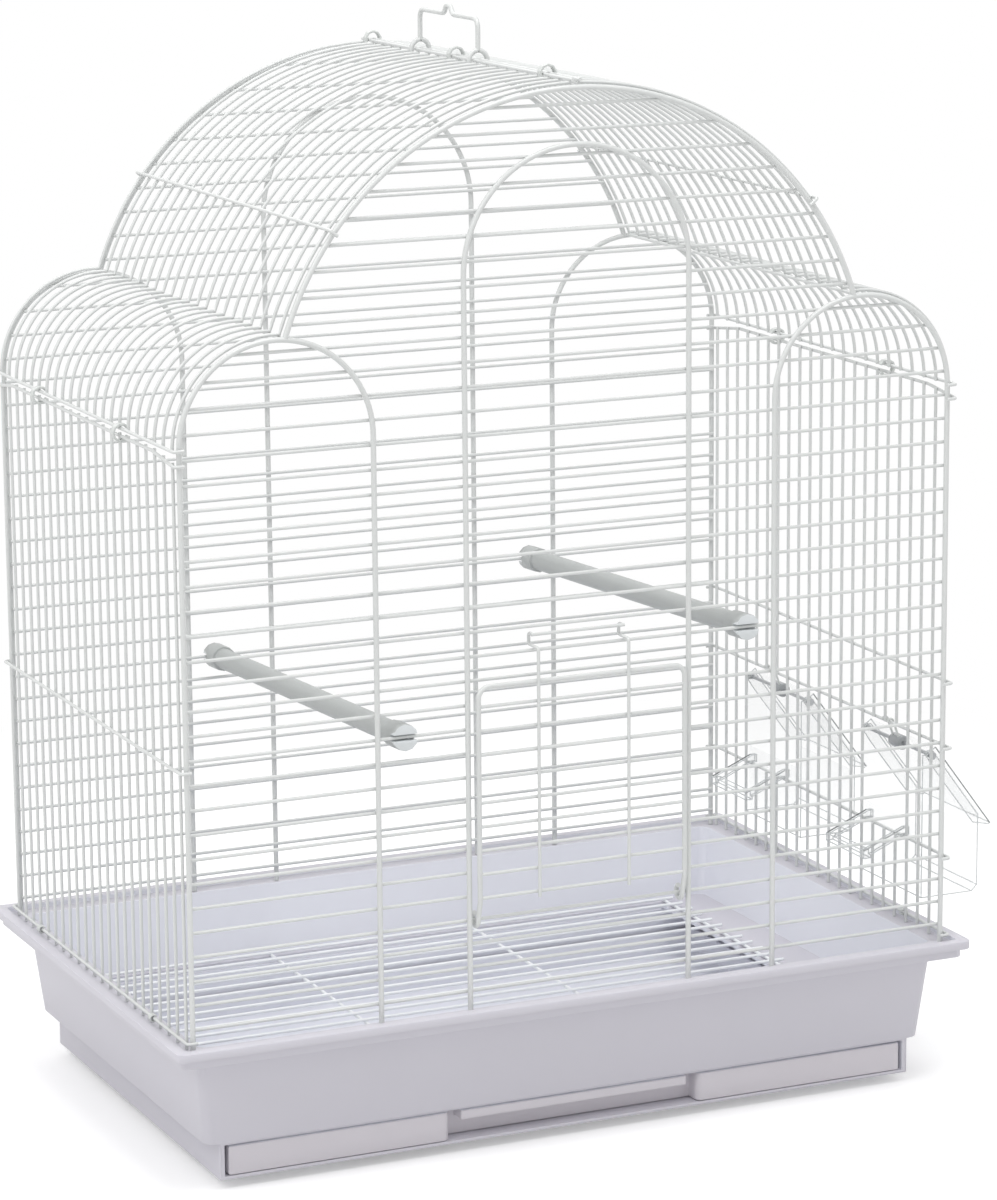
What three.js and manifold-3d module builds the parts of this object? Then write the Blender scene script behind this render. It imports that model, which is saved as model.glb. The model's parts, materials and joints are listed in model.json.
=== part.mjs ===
// Shell-top parakeet cage on a tub base with a slide-out tray.
// Millimetres, +Z up, standing on Z = 0. The front faces -Y and the two outside feeders hang on +X.
import * as THREE from "three";
import { mergeVertices } from "three/addons/utils/BufferGeometryUtils.js";
import Module from "manifold-3d";

const wasm = await Module();
wasm.setup();

// Fits shared by all pieces
const fitGap = 0.35;
const weldDepth = 0.3;
const cutOverrun = 1;

// Wires: a square section on its corner, with the same area of steel as the round wire
const barDiameter = 2;
const frameDiameter = 3.2;
const doorFrameDiameter = 3;
const handleDiameter = 3;
const prongDiameter = 1.4;
const cornerShare = Math.sqrt(Math.PI / 8);
const barCorner = barDiameter * cornerShare;
const frameCorner = frameDiameter * cornerShare;
const doorCorner = doorFrameDiameter * cornerShare;
const handleCorner = handleDiameter * cornerShare;
const prongCorner = prongDiameter * cornerShare;

// Cage body, between the centres of the corner legs
const cageWidth = 480;
const cageDepth = 302;
const barPitch = 14.05;
const sideStandOff = 2.5;
const sideEdgeGap = 3;
const sideWireCount = Math.floor((cageDepth - 2 * sideEdgeGap) / barPitch) + 1;

// Base: the rim stands out round the cage body, and each lower part is set in from the one above
const footHeight = 6;
const footLength = 74;
const footDepth = 40;
const footDraft = 6;
const footInset = 8.5;
const rimMarginX = 14;
const rimMarginY = 15;
const rimWidth = cageWidth + 2 * rimMarginX;
const rimDepth = cageDepth + 2 * rimMarginY;
const rimStep = 4;
const rimCorner = 5;
const tubTopInsetX = 17;
const tubTopInsetY = 16;
const tubTopWidth = rimWidth - 2 * tubTopInsetX;
const tubTopDepth = rimDepth - 2 * tubTopInsetY;
const tubDraftX = 6;
const tubDraftY = 5.5;
const plinthHeight = 22;
const tubHeight = 52.5;
const tubBottomZ = footHeight + plinthHeight;
const tubBottomWidth = tubTopWidth - 2 * tubDraftX;
const tubBottomDepth = tubTopDepth - 2 * tubDraftY;
const tubWall = 2.5;
const tubCorner = 8;
const plinthInset = 8.5;
const plinthFrontInset = 1.5;
const plinthWidth = tubBottomWidth - 2 * plinthInset;
const plinthFront = tubBottomDepth / 2 - plinthFrontInset;
const plinthRear = tubBottomDepth / 2 - plinthInset;
const plinthWall = 3;
const plinthFloor = 2;
const deckRise = 15.5;
const deckTopZ = tubBottomZ + deckRise;
const deckThickness = 2.5;
const deckLedgeX = 36.5;
const deckLedgeY = 10.5;
const deckOpeningWidth = tubBottomWidth - 2 * deckLedgeX;
const deckOpeningDepth = tubBottomDepth - 2 * deckLedgeY;
const skirtHeight = 5.5;
const rimHeight = 5;
const ledgeDepth = 3;
const skirtBottomZ = tubBottomZ + tubHeight;
const rimBottomZ = skirtBottomZ + skirtHeight;
const rimTopZ = rimBottomZ + rimHeight;
const ledgeZ = rimTopZ - ledgeDepth;
const lipWidth = 7;

// Tray
const trayPlay = 1;
const traySideGap = 2.5;
const trayWall = 2.2;
const trayTopGap = 2.5;
const trayTopZ = tubBottomZ - trayTopGap;
const trayRearPlay = 2;
const fasciaDepth = 12.5;
const recessWidth = 160;
const recessDepth = 10.5;
const pullSideGap = 7;
const pullWidth = recessWidth - 2 * pullSideGap;
const pullHeight = 5.7;

// Floor grate, lying a little to the left as in the photograph
const grateSeatX = 20;
const grateSeatY = 3;
const grateLength = deckOpeningWidth + 2 * grateSeatX;
const grateShift = -11.5;
const grateWireCount = Math.floor(deckOpeningDepth / barPitch) + 1;
const grateCrossCount = 4;
const grateCrossInset = 5.25;
const grateCrossPitch = (grateLength - 2 * grateCrossInset) / (grateCrossCount - 1);

// Heights of the wire body above the ledge that it stands on
const legFootZ = ledgeZ + fitGap;
const lowestBarLift = 11;
const springLift = 340;
const lowestBarZ = ledgeZ + lowestBarLift;
const springZ = ledgeZ + springLift;
const smallArchRadius = 57.25;
const bigArchInset = 54;
const bigArchRadius = cageWidth / 2 - bigArchInset;
const centreArchHalfWidth = 70;
const centreArchDrop = 31.5;
const centreArchSpringZ = springZ + bigArchRadius - centreArchDrop - centreArchHalfWidth;
const bottomRailLift = 4.5;
const midRailLift = 149.5;
const midRailZ = lowestBarZ + midRailLift;
const midRoofAngle = THREE.MathUtils.degToRad(37.5);
const hookLength = 6;
const hookBend = 1.6;

// Clips that draw two rails together
const railSpacing = 4.4;
const roofRailLift = 0.7;
const railFlareDrop = 4;
const railFlareLength = 30;
const clipWall = 1.4;
const clipWidth = 4;
const clipGapAngle = THREE.MathUtils.degToRad(50);
const clipInner = railSpacing / 2 + barCorner + 2 * fitGap;
const eyeletInner = barCorner + fitGap;
const eyeletWall = 0.9;

// Front door, hung on one bar and hooked over another
const hingeBar = 3;
const doorTopBar = 13;
const latchBar = 14;
const doorSideGap = 4.7;
const doorHalfWidth = centreArchHalfWidth - doorSideGap;
const doorStandOff = 4.4;
const doorTopDrop = 2.6;
const doorCornerRadius = 7;
const hingeLoopRadius = 3.8;
const hingeLoopRise = 12;
const latchHalfWidth = 28.5;
const latchTail = 3;
const latchReach = 4.5;
const latchRise = 6.5;
const latchReturn = 5.5;
const bendRadius = 2;

// Carry handle
const handlePitchCount = 6;
const handleHeight = 24;
const handleEyeRadius = 5.8;
const handleBend = 5;
const kinkHeight = 5;
const kinkHalfLength = 6;

// Perches
const perchDiameter = 12.7;
const perchCapDiameter = 15.5;
const perchCapLength = 12;
const perchX = 108.5;
const leftPerchBar = 11;
const rightPerchBar = 14;
const perchTongue = 3.5;

// Outside feeders on the right-hand side
const feederFirstWire = 3;
const feederPitchCount = 4;
const upperRailLift = 109.6;
const lowerRailLift = 41.7;
const upperRailZ = lowestBarZ + upperRailLift;
const lowerRailZ = lowestBarZ + lowerRailLift;
const cupOverlap = 9.9;
const cupWidth = feederPitchCount * barPitch + 2 * cupOverlap;
const cupStandOff = 7.2;
const cupDepth = 39.8;
const cupBack = cageWidth / 2 + cupStandOff;
const cupFront = cupBack + cupDepth;
const cupChamfer = 4;
const cupWall = 1.8;
const pivotInset = 5;
const pivotDrop = 13.6;
const pivotX = cupBack + pivotInset;
const pivotZ = upperRailZ - pivotDrop;
const cupHeight = 90;
const cupFrontHeight = 40;
const cupBackHeight = 45;
const cupBottomZ = pivotZ - cupHeight;
const cupFrontZ = cupBottomZ + cupFrontHeight;
const cupBackZ = cupBottomZ + cupBackHeight;
const pivotEar = 3.2;
const hoodGap = 0.4;
const hoodWall = 1.8;
const hoodLength = 63;
const hoodHeel = 2.5;
const hoodCheekDepth = 9;
const hoodAngle = THREE.MathUtils.degToRad(-53);
const hoodNotchWidth = 18;
const hoodNotchDepth = 10;
const rodRadius = 1.2;
const rodHeadRadius = 2.4;
const rodHeadLength = 1.6;
const knobRadius = 4.5;
const knobLength = 12;
const prongSpread = 3.5;
const landingReach = 32;
const landingDrop = 12;
const landingSideGap = 4.1;
const landingHalfWidth = (feederPitchCount * barPitch) / 2 - landingSideGap;
const landingBarHeight = 5;
const landingThickness = 3;

// Plain colours of the photographed finishes
const paintedWire = { color: 0xd9dbdc, roughness: 0.35, metalness: 0.1 };
const basePlastic = { color: 0xb9b8c6, roughness: 0.45, metalness: 0 };
const footPlastic = { color: 0x73777d, roughness: 0.7, metalness: 0 };
const clearPlastic = { color: 0xe6ecef, roughness: 0.08, metalness: 0, transparent: true, opacity: 0.45 };
const perchPlastic = { color: 0xd5d8d9, roughness: 0.5, metalness: 0 };
const clipPlastic = { color: 0xe4e6e8, roughness: 0.3, metalness: 0.2 };
const rodSteel = { color: 0x9a9da0, roughness: 0.3, metalness: 0.9 };

const cage = new THREE.Group();

// Adds one named piece and gives it back, so that it can be placed
function addPiece(name, geometry, finish, parent = cage) {
  const mesh = new THREE.Mesh(geometry, new THREE.MeshStandardMaterial(finish));
  mesh.name = name;
  parent.add(mesh);
  return mesh;
}

const at = (x, y, z) => new THREE.Vector3(x, y, z);

// A closed geometry as a solid that can be joined and cut
function solidOf(geometry) {
  geometry.deleteAttribute("normal");
  geometry.deleteAttribute("uv");
  const merged = mergeVertices(geometry);
  return new wasm.Manifold(
    new wasm.Mesh({
      numProp: 3,
      vertProperties: merged.attributes.position.array,
      triVerts: new Uint32Array(merged.index.array),
    }),
  );
}

function geometryOf(solid) {
  const mesh = solid.getMesh();
  const geometry = new THREE.BufferGeometry();
  geometry.setAttribute("position", new THREE.BufferAttribute(mesh.vertProperties, mesh.numProp));
  geometry.setIndex(new THREE.BufferAttribute(mesh.triVerts, 1));
  geometry.computeVertexNormals();
  return geometry;
}

function joined(solids) {
  return solids.reduce((whole, solid) => whole.add(solid));
}

// A wire's path: straight runs between points, with each joint's section on the bisecting plane
class BentWire extends THREE.Curve {
  constructor(points) {
    super();
    this.points = points;
  }

  getPoint(t, target = new THREE.Vector3()) {
    const last = this.points.length - 1;
    const run = Math.min(Math.floor(t * last), last - 1);
    return target.lerpVectors(this.points[run], this.points[run + 1], t * last - run);
  }

  getPointAt(u, target) {
    return this.getPoint(u, target);
  }

  getTangentAt(u, target = new THREE.Vector3()) {
    const last = this.points.length - 1;
    const i = Math.round(u * last);
    const into = Math.max(i, 1);
    const out = Math.min(i + 1, last);
    const before = at(0, 0, 0).subVectors(this.points[into], this.points[into - 1]).normalize();
    const after = at(0, 0, 0).subVectors(this.points[out], this.points[out - 1]).normalize();
    return target.addVectors(before, after).normalize();
  }
}

function wireGeometry(points, corner) {
  const section = new THREE.Shape();
  section.moveTo(corner, 0);
  section.lineTo(0, corner);
  section.lineTo(-corner, 0);
  section.lineTo(0, -corner);
  section.closePath();
  return new THREE.ExtrudeGeometry(section, {
    steps: points.length - 1,
    extrudePath: new BentWire(points),
  });
}

const wire = (points, corner) => solidOf(wireGeometry(points, corner));

// How far apart two crossing wires run when they are welded
const weldOffset = (corner, other) => corner + other - weldDepth;

const arcAngles = (from, to, runs) =>
  Array.from({ length: runs + 1 }, (_, i) => from + ((to - from) * i) / runs);

// Points on a circle in the plane of two axes, as pairs
const onCircle = (centre, radius, angles) =>
  angles.map((angle) => [
    centre[0] + radius * Math.cos(angle),
    centre[1] + radius * Math.sin(angle),
  ]);

const arcPairs = (centre, radius, from, to, runs) =>
  onCircle(centre, radius, arcAngles(from, to, runs));

function boxSolid(low, high) {
  const box = new THREE.BoxGeometry(high[0] - low[0], high[1] - low[1], high[2] - low[2]);
  box.translate((low[0] + high[0]) / 2, (low[1] + high[1]) / 2, (low[2] + high[2]) / 2);
  return solidOf(box);
}

// An upright block with rounded corners that is one size at the bottom and another at the top
function taperedBlock(bottom, top, lowZ, highZ, radius) {
  const [halfX, halfY] = [bottom[0] / 2, bottom[1] / 2];
  const outline = new THREE.Shape();
  outline.absarc(halfX - radius, halfY - radius, radius, 0, Math.PI / 2);
  outline.absarc(radius - halfX, halfY - radius, radius, Math.PI / 2, Math.PI);
  outline.absarc(radius - halfX, radius - halfY, radius, Math.PI, 1.5 * Math.PI);
  outline.absarc(halfX - radius, radius - halfY, radius, 1.5 * Math.PI, 2 * Math.PI);
  const block = new THREE.ExtrudeGeometry(outline, {
    depth: highZ - lowZ,
    bevelEnabled: false,
    curveSegments: 2,
  });
  const place = block.attributes.position;
  for (let i = 0; i < place.count; i++) {
    const share = place.getZ(i) / (highZ - lowZ);
    place.setX(i, place.getX(i) * THREE.MathUtils.lerp(1, top[0] / bottom[0], share));
    place.setY(i, place.getY(i) * THREE.MathUtils.lerp(1, top[1] / bottom[1], share));
  }
  return block.translate(0, 0, lowZ);
}

// A profile in the XZ plane, given as pairs, extruded evenly to both sides of Y = 0
function sideProfile(pairs, width) {
  const outline = new THREE.Shape(pairs.map(([x, z]) => new THREE.Vector2(x, z)));
  const slab = new THREE.ExtrudeGeometry(outline, { depth: width, bevelEnabled: false });
  return slab.translate(0, 0, -width / 2).rotateX(Math.PI / 2);
}

function rodAlongY(radius, length, sides) {
  return new THREE.CylinderGeometry(radius, radius, length, sides);
}

// Base tub
const tubWidthAt = (z) =>
  THREE.MathUtils.mapLinear(z, tubBottomZ, skirtBottomZ, tubBottomWidth, tubTopWidth);
const tubDepthAt = (z) =>
  THREE.MathUtils.mapLinear(z, tubBottomZ, skirtBottomZ, tubBottomDepth, tubTopDepth);

function baseTub() {
  const skirt = [rimWidth - 2 * rimStep, rimDepth - 2 * rimStep];
  const rim = [rimWidth, rimDepth];
  const insideLip = [rimWidth - 2 * lipWidth, rimDepth - 2 * lipWidth];
  const inner = (z) => [tubWidthAt(z) - 2 * tubWall, tubDepthAt(z) - 2 * tubWall];
  const cavityTopZ = rimTopZ + cutOverrun;
  const underDeckZ = deckTopZ - deckThickness;
  const roomHalf = plinthWidth / 2 - plinthWall;
  const roomFloorZ = footHeight + plinthFloor;
  const roomRear = plinthRear - plinthWall;
  const lintelZ = trayTopZ + trayPlay;
  const body = joined([
    solidOf(
      taperedBlock(
        [tubBottomWidth, tubBottomDepth],
        [tubTopWidth, tubTopDepth],
        tubBottomZ,
        skirtBottomZ,
        tubCorner,
      ),
    ),
    solidOf(taperedBlock(skirt, skirt, skirtBottomZ, rimBottomZ, rimCorner)),
    solidOf(taperedBlock(rim, rim, rimBottomZ, rimTopZ, rimCorner)),
    boxSolid(
      [-plinthWidth / 2, -plinthFront, footHeight],
      [plinthWidth / 2, plinthRear, tubBottomZ + tubWall],
    ),
  ]);
  return body
    .subtract(solidOf(taperedBlock(insideLip, insideLip, ledgeZ, cavityTopZ, rimCorner / 2)))
    .subtract(
      solidOf(
        taperedBlock(inner(deckTopZ), inner(cavityTopZ), deckTopZ, cavityTopZ, tubCorner - tubWall),
      ),
    )
    .subtract(
      boxSolid(
        [-deckOpeningWidth / 2, -deckOpeningDepth / 2, underDeckZ - cutOverrun],
        [deckOpeningWidth / 2, deckOpeningDepth / 2, deckTopZ + cutOverrun],
      ),
    )
    .subtract(
      boxSolid([-roomHalf, -plinthFront - cutOverrun, roomFloorZ], [roomHalf, roomRear, lintelZ]),
    )
    .subtract(
      boxSolid(
        [-roomHalf, 2 * tubWall - tubBottomDepth / 2, lintelZ - cutOverrun],
        [roomHalf, roomRear, underDeckZ],
      ),
    );
}

addPiece("base_tub", geometryOf(baseTub()), basePlastic);

const footX = plinthWidth / 2 - footInset - footLength / 2;
const footY = plinthRear - footDraft - footDepth / 2;
const fourCorners = [
  ["front_left", -1, -1],
  ["front_right", 1, -1],
  ["rear_left", -1, 1],
  ["rear_right", 1, 1],
];
for (const [place, sideX, sideY] of fourCorners) {
  const low = [footLength - 2 * footDraft, footDepth - 2 * footDraft];
  const foot = taperedBlock(low, [footLength, footDepth], 0, footHeight - fitGap, footDraft / 2);
  addPiece("foot_" + place, foot, footPlastic).position.set(sideX * footX, sideY * footY, 0);
}

// Slide-out tray: a shallow pan with a front that has two raised blocks and a pull lip between them
const trayHalf = plinthWidth / 2 - plinthWall - traySideGap;
const trayRear = plinthRear - plinthWall - trayRearPlay;
const trayFloorZ = footHeight + plinthFloor + fitGap;

function slideOutTray() {
  const fasciaRear = fasciaDepth - plinthFront;
  const pan = boxSolid([-trayHalf, fasciaRear - trayWall, trayFloorZ], [trayHalf, trayRear, trayTopZ]);
  const hollow = boxSolid(
    [trayWall - trayHalf, fasciaRear, trayFloorZ + trayWall],
    [trayHalf - trayWall, trayRear - trayWall, trayTopZ + cutOverrun],
  );
  const fascia = boxSolid([-trayHalf, -plinthFront, trayFloorZ], [trayHalf, fasciaRear, trayTopZ]);
  const recess = boxSolid(
    [-recessWidth / 2, -plinthFront - cutOverrun, trayFloorZ - cutOverrun],
    [recessWidth / 2, recessDepth - plinthFront, trayTopZ + cutOverrun],
  );
  const pull = boxSolid(
    [-pullWidth / 2, -plinthFront, trayTopZ - pullHeight],
    [pullWidth / 2, recessDepth - plinthFront + cutOverrun, trayTopZ],
  );
  return pan.add(fascia).subtract(hollow).subtract(recess).add(pull);
}

addPiece("slide_out_tray", geometryOf(slideOutTray()), basePlastic);

// Floor grate: long wires across the width, welded on four cross wires that lie on the deck
const grateCrossZ = deckTopZ + barCorner + fitGap;
const grateWireZ = grateCrossZ + weldOffset(barCorner, barCorner);

function floorGrate() {
  const wires = [];
  const rearY = ((grateWireCount - 1) * barPitch) / 2;
  for (let i = 0; i < grateWireCount; i++) {
    const y = i * barPitch - rearY;
    const ends = [grateShift - grateLength / 2, grateShift + grateLength / 2];
    wires.push(wire([at(ends[0], y, grateWireZ), at(ends[1], y, grateWireZ)], barCorner));
  }
  for (let i = 0; i < grateCrossCount; i++) {
    const x = grateShift + (i - (grateCrossCount - 1) / 2) * grateCrossPitch;
    const y = deckOpeningDepth / 2 + grateSeatY;
    wires.push(wire([at(x, -y, grateCrossZ), at(x, y, grateCrossZ)], barCorner));
  }
  return joined(wires);
}

addPiece("floor_grate", geometryOf(floorGrate()), paintedWire);

// Outline of the front and rear panels: two small arches with a big one between them
const smallArchX = cageWidth / 2 - smallArchRadius;
const innerLegX = smallArchX - smallArchRadius;

// Where a circle round the cage's middle meets one round the small arch's middle
function valleyPoint(bigRadius, smallRadius) {
  const x = (bigRadius ** 2 - smallRadius ** 2 + smallArchX ** 2) / (2 * smallArchX);
  return { x, rise: Math.sqrt(bigRadius ** 2 - x ** 2) };
}

const barZ = (index) => lowestBarZ + index * barPitch;
const barCount = Math.floor((springZ + bigArchRadius - frameCorner - lowestBarZ) / barPitch) + 1;

const archRuns = 8;
const lowDomeRuns = 2;
const highDomeRuns = 4;

// Angles of the big arch's corners, from one valley over the top to the other, one of them
// where the middle roof rail lies
function domeAngles(start) {
  const low = arcAngles(start, midRoofAngle, lowDomeRuns);
  const high = arcAngles(midRoofAngle, Math.PI / 2, highDomeRuns);
  return [...low, ...high.slice(1)];
}

const frameValley = valleyPoint(bigArchRadius, smallArchRadius);
const valleyAngle = Math.atan2(frameValley.rise, frameValley.x);
const bigArchHalf = onCircle([0, springZ], bigArchRadius, domeAngles(valleyAngle));
const smallArch = arcPairs([smallArchX, springZ], smallArchRadius, 0, Math.PI, archRuns);

// Half the length of a bar, which ends on the middle of the frame wire
const panelOutline = [
  [cageWidth / 2, legFootZ],
  ...smallArch.slice(0, archRuns / 2),
  ...bigArchHalf,
];
function barHalfLength(z) {
  const above = panelOutline.findIndex(([, cornerZ]) => cornerZ > z);
  const [[lowX, lowZ], [highX, highZ]] = panelOutline.slice(above - 1, above + 1);
  return THREE.MathUtils.mapLinear(z, lowZ, highZ, lowX, highX) + weldDepth;
}

function panelFrame(y) {
  const inPlane = (pairs) => pairs.map(([x, z]) => at(x, y, z));
  const uShape = (x, radius, archZ) =>
    inPlane([
      [x + radius, legFootZ],
      ...arcPairs([x, archZ], radius, 0, Math.PI, archRuns),
      [x - radius, legFootZ],
    ]);
  const otherHalf = bigArchHalf.slice(0, -1).map(([x, z]) => [-x, z]);
  return [
    wire(uShape(-smallArchX, smallArchRadius, springZ), frameCorner),
    wire(uShape(smallArchX, smallArchRadius, springZ), frameCorner),
    wire(uShape(0, centreArchHalfWidth, centreArchSpringZ), frameCorner),
    wire(inPlane([...bigArchHalf, ...otherHalf.reverse()]), frameCorner),
  ];
}

// side is -1 at the front and 1 at the rear. Bars lie on the inside of the frame wires.
function wirePanel(side, hasDoorway) {
  const frameY = (side * cageDepth) / 2;
  const wires = panelFrame(frameY);
  const y = frameY - side * weldOffset(frameCorner, barCorner);
  for (let i = 0; i < barCount; i++) {
    const z = barZ(i);
    const half = barHalfLength(z);
    const open = hasDoorway && i > hingeBar && i < doorTopBar;
    const spans = open
      ? [
          [-half, -centreArchHalfWidth],
          [centreArchHalfWidth, half],
        ]
      : [[-half, half]];
    for (const [from, to] of spans) wires.push(wire([at(from, y, z), at(to, y, z)], barCorner));
  }
  return joined(wires);
}

addPiece("front_panel", geometryOf(wirePanel(-1, true)), paintedWire);
addPiece("rear_panel", geometryOf(wirePanel(1, false)), paintedWire);

// Side panels: upright wires with a few rails on their outside, whose ends hook round the corner legs
const sideX = cageWidth / 2 + sideStandOff;
// A rail's hooks turn in two equal steps, which leaves its section a little flatter between them
const railOffset = barCorner + barCorner * Math.cos(Math.PI / 8) - weldDepth;
const railX = sideX + railOffset;
const sideWireY = (index) => (index - (sideWireCount - 1) / 2) * barPitch;
const betweenWiresY = (index) => sideWireY(index) + barPitch / 2;
const hookY = cageDepth / 2 + frameCorner + barCorner + fitGap;

// A rail along Y. inward is the direction in which its ends bend round the frame wire.
function hookedRail(x, z, inward, flare = 0) {
  const end = (reach, y) => at(x + inward[0] * reach, y, z + inward[1] * reach - flare);
  const hook = (side) => [
    end(hookLength, side * hookY),
    end(hookBend, side * hookY),
    end(0, side * (hookY - hookBend)),
  ];
  const straight = cageDepth / 2 - railFlareLength;
  const middle = flare ? [at(x, -straight, z), at(x, straight, z)] : [];
  return wire([...hook(-1), ...middle, ...hook(1).reverse()], barCorner);
}

const sideTopRailZ = springZ + roofRailLift - railSpacing;

// Height of the flared top rail at a place along the side
function topRailZ(y) {
  const past = Math.max(0, Math.abs(y) - (cageDepth / 2 - railFlareLength));
  return sideTopRailZ - (railFlareDrop * past) / (hookY - cageDepth / 2 + railFlareLength);
}

const isFeederWire = (index) =>
  [feederFirstWire, sideWireCount - 1 - feederFirstWire - feederPitchCount].some(
    (first) => index > first && index < first + feederPitchCount,
  );

// side is -1 on the left and 1 on the right
function sidePanel(side, hasFeeders) {
  const x = side * sideX;
  const rails = [legFootZ + bottomRailLift, midRailZ];
  if (hasFeeders) rails.push(lowerRailZ, upperRailZ);
  const wires = rails.map((z) => hookedRail(side * railX, z, [-side, 0]));
  wires.push(hookedRail(side * railX, sideTopRailZ, [-side, 0], railFlareDrop));
  for (let i = 0; i < sideWireCount; i++) {
    const y = sideWireY(i);
    const top = topRailZ(y) + barCorner;
    const spans =
      hasFeeders && isFeederWire(i)
        ? [
            [legFootZ, lowerRailZ],
            [upperRailZ, top],
          ]
        : [[legFootZ, top]];
    for (const [from, to] of spans) wires.push(wire([at(x, y, from), at(x, y, to)], barCorner));
  }
  return joined(wires);
}

addPiece("left_side_panel", geometryOf(sidePanel(-1, false)), paintedWire);
addPiece("right_side_panel", geometryOf(sidePanel(1, true)), paintedWire);

// Roof halves: wires bent over the shell arch, down into the valley and up to the ridge
const roofSmallRadius = smallArchRadius + sideStandOff;
const roofBigRadius = bigArchRadius + sideStandOff;
const ridgeX = railSpacing / 2;
const ridgeZ = springZ + roofBigRadius + weldOffset(barCorner, barCorner);
function roofHalf(side) {
  const valley = valleyPoint(roofBigRadius, roofSmallRadius);
  const shell = arcPairs([smallArchX, springZ], roofSmallRadius, 0, Math.PI, archRuns);
  const dome = onCircle([0, springZ], roofBigRadius, domeAngles(valleyAngle).slice(1, -1));
  const pairs = [
    ...shell.slice(0, archRuns / 2),
    [valley.x, springZ + valley.rise],
    ...dome,
    [ridgeX, springZ + roofBigRadius],
  ];
  const wires = [];
  for (let i = 0; i < sideWireCount; i++) {
    const y = sideWireY(i);
    wires.push(
      wire(
        pairs.map(([x, z]) => at(side * x, y, z)),
        barCorner,
      ),
    );
  }
  const [outX, outZ] = [Math.cos(midRoofAngle), Math.sin(midRoofAngle)];
  const midRadius = roofBigRadius + railOffset;
  const valleyRailZ = springZ + valley.rise - weldOffset(barCorner, barCorner);
  const ridgeEndY = cageDepth / 2;
  wires.push(
    hookedRail(side * railX, springZ + roofRailLift, [-side, 0]),
    hookedRail(side * midRadius * outX, springZ + midRadius * outZ, [-side * outX, -outZ]),
    wire(
      [
        at(side * valley.x, sideWireY(0) - barCorner, valleyRailZ),
        at(side * valley.x, sideWireY(sideWireCount - 1) + barCorner, valleyRailZ),
      ],
      barCorner,
    ),
    wire([at(side * ridgeX, -ridgeEndY, ridgeZ), at(side * ridgeX, ridgeEndY, ridgeZ)], barCorner),
  );
  return joined(wires);
}

addPiece("roof_left", geometryOf(roofHalf(-1)), paintedWire);
addPiece("roof_right", geometryOf(roofHalf(1)), paintedWire);

// Clips: open rings that hold two rails together, and small eyelets on the bottom rails
function openRing(inner, wall) {
  const outline = new THREE.Shape();
  outline.absarc(0, 0, inner + wall, clipGapAngle / 2, 2 * Math.PI - clipGapAngle / 2);
  outline.absarc(0, 0, inner, 2 * Math.PI - clipGapAngle / 2, clipGapAngle / 2, true);
  const ring = new THREE.ExtrudeGeometry(outline, {
    depth: clipWidth,
    bevelEnabled: false,
    curveSegments: 4,
  });
  return ring.translate(0, 0, -clipWidth / 2);
}

// opening is the direction, in the XZ plane, of the gap in the ring
function addClip(name, inner, wall, place, opening) {
  const clip = addPiece(name, openRing(inner, wall), clipPlastic);
  clip.position.copy(place);
  clip.rotation.set(Math.PI / 2, 0, opening);
}

const ridgeClipWires = [2, Math.floor(sideWireCount / 2), sideWireCount - 2];
const frontToRear = ["front", "middle", "rear"];
ridgeClipWires.forEach((index, i) => {
  const place = at(0, betweenWiresY(index), ridgeZ);
  addClip("ridge_clip_" + frontToRear[i], clipInner, clipWall, place, -Math.PI / 2);
});

const sideClipWires = [5, sideWireCount - 7];
const baseClipWires = [3, sideWireCount - 5];
const sideJointZ = springZ + roofRailLift - railSpacing / 2;
for (const [name, side] of [
  ["left", -1],
  ["right", 1],
]) {
  const opening = side > 0 ? Math.PI : 0;
  ["front", "rear"].forEach((end, i) => {
    const jointPlace = at(side * railX, betweenWiresY(sideClipWires[i]), sideJointZ);
    addClip(`${name}_joint_clip_${end}`, clipInner, clipWall, jointPlace, opening);
    const railPlace = at(side * railX, betweenWiresY(baseClipWires[i]), legFootZ + bottomRailLift);
    addClip(`${name}_base_clip_${end}`, eyeletInner, eyeletWall, railPlace, opening);
  });
}

// Front door: one bent wire with a loop round the hinge bar at each end, nine bars across it,
// and two latch wires whose tops bend over the latch bar and carry the finger bar
const panelBarY = weldOffset(frameCorner, barCorner) - cageDepth / 2;
const doorY = -cageDepth / 2 - doorStandOff;
const hingeZ = barZ(hingeBar);
const doorTopZ = barZ(doorTopBar) - doorTopDrop;

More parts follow.
